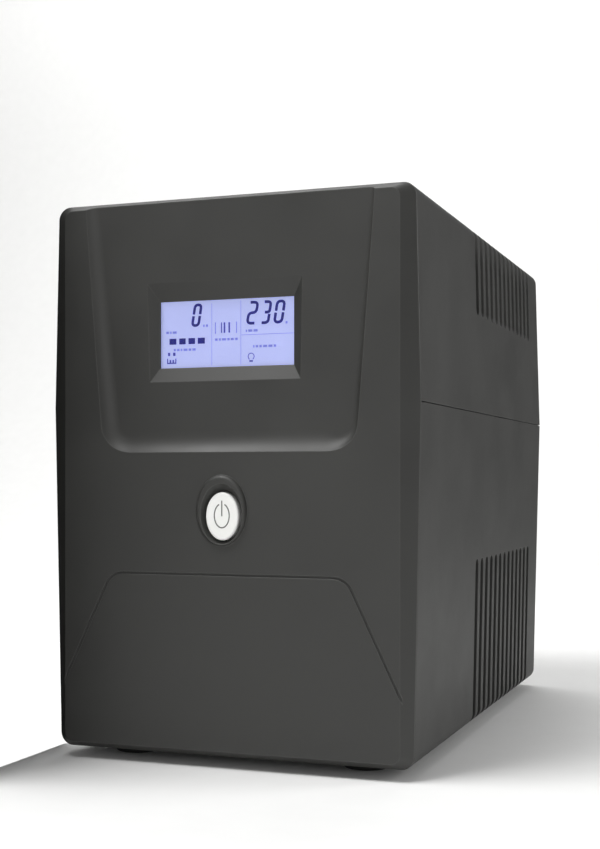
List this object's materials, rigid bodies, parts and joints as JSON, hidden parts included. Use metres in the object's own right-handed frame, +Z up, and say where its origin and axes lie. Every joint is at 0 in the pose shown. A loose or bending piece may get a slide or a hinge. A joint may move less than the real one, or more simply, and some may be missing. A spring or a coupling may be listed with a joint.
{
  "type": "uninterruptible power supply",
  "caption": "Mini-tower uninterruptible power supply with a display panel, power button, side vents, rear outlets, mains inlet, reset breaker and fan.",
  "frame": {"origin": "middle of the footprint, on the surface the feet stand on", "axes": "+Z up, +Y from the front panel to the rear panel, +X to the right of someone who faces the front"},
  "size_m": [0.146, 0.2496, 0.211],
  "materials": {
    "case_abs": "fine spark texture",
    "panel_abs": "fine spark texture",
    "rubber": "matte",
    "zinc_screw": "zinc plated",
    "black_screw": "black oxide",
    "window": "clear acrylic",
    "lcd": "lit display glass",
    "white_plastic": "matt",
    "button_white": "satin white",
    "pcb": "solder resist over glass fibre",
    "battery_case": "ABS",
    "brass": "plain",
    "foam": "closed cell foam",
    "boot": "flexible PVC",
    "wire": "PVC insulation",
    "steel_core": "varnished laminations",
    "bobbin": "nylon",
    "winding": "yellow polyester tape",
    "zinc_sheet": "zinc plated",
    "aluminium": "extruded",
    "black_plastic": "moulded",
    "capacitor_sleeve": "shrink sleeve",
    "relay_plastic": "moulded",
    "film_cap": "moulded",
    "fuse_plastic": "tinted",
    "plug_plastic": "nylon",
    "rear_steel": "moulded ABS",
    "outlet_plastic": "semi gloss",
    "spring_steel": "nickel plated",
    "guard_wire": "nickel plated wire"
  },
  "bodies": {
    "case": {"lower_shell": "case_abs", "upper_cover": "case_abs", "front_panel": "panel_abs", "rubber_feet": "rubber", "case_screws": "black_screw", "display_window": "window", "lcd_glass": "lcd", "lcd_frame": "white_plastic", "lcd_backlight": "white_plastic", "display_board": "pcb", "display_board_screws": "zinc_screw", "tact_switch": "black_plastic", "battery_left": "battery_case", "battery_right": "battery_case", "battery_terminals": "brass", "foam_pads": "foam", "lead_boots": "boot", "battery_leads": "wire", "transformer_core": "steel_core", "transformer_bobbin": "bobbin", "transformer_winding": "winding", "transformer_strap": "zinc_sheet", "transformer_leads": "wire", "board_tray": "zinc_sheet", "chassis_screws": "zinc_screw", "board_standoffs": "plug_plastic", "main_board": "pcb", "heat_sinks": "aluminium", "power_transistors": "black_plastic", "electrolytic_capacitors": "capacitor_sleeve", "relays": "relay_plastic", "film_capacitors": "film_cap", "blade_fuses": "fuse_plastic", "control_chips": "black_plastic", "board_connectors": "plug_plastic", "rear_panel": "rear_steel", "outlet_lower_left": "outlet_plastic", "outlet_lower_right": "outlet_plastic", "outlet_upper_left": "outlet_plastic", "outlet_upper_right": "outlet_plastic", "outlet_earth_clips": "spring_steel", "mains_inlet": "outlet_plastic", "inlet_pins": "spring_steel", "inlet_screws": "zinc_screw", "circuit_breaker": "black_plastic", "breaker_nut": "zinc_screw", "data_line_jacks": "black_plastic", "jack_contacts": "brass", "usb_port": "zinc_sheet", "usb_tongue": "white_plastic", "fan_frame": "black_plastic", "fan_screws": "black_screw", "fan_guard": "guard_wire", "inlet_leads": "wire", "display_ribbon": "wire"},
    "button": {"power_button": "button_white", "switch_plunger": "black_plastic"},
    "breaker_button": {"breaker_reset_button": "black_plastic"},
    "fan_rotor": {"fan_rotor": "black_plastic"}
  },
  "joints": [
    {"name": "power_press", "type": "slide", "parent": "case", "child": "button", "axis": [0, 1, 0], "range_m": [0, 0.001], "stiffness_N_per_m": 1500, "springref_m": -0.0006},
    {"name": "breaker_trip", "type": "slide", "parent": "case", "child": "breaker_button", "axis": [0, 1, 0], "range_m": [0, 0.0025]},
    {"name": "fan_spin", "type": "hinge", "parent": "case", "child": "fan_rotor", "pos_m": [-0.026, 0.105, 0.16], "axis": [0, 1, 0], "continuous": true}
  ]
}
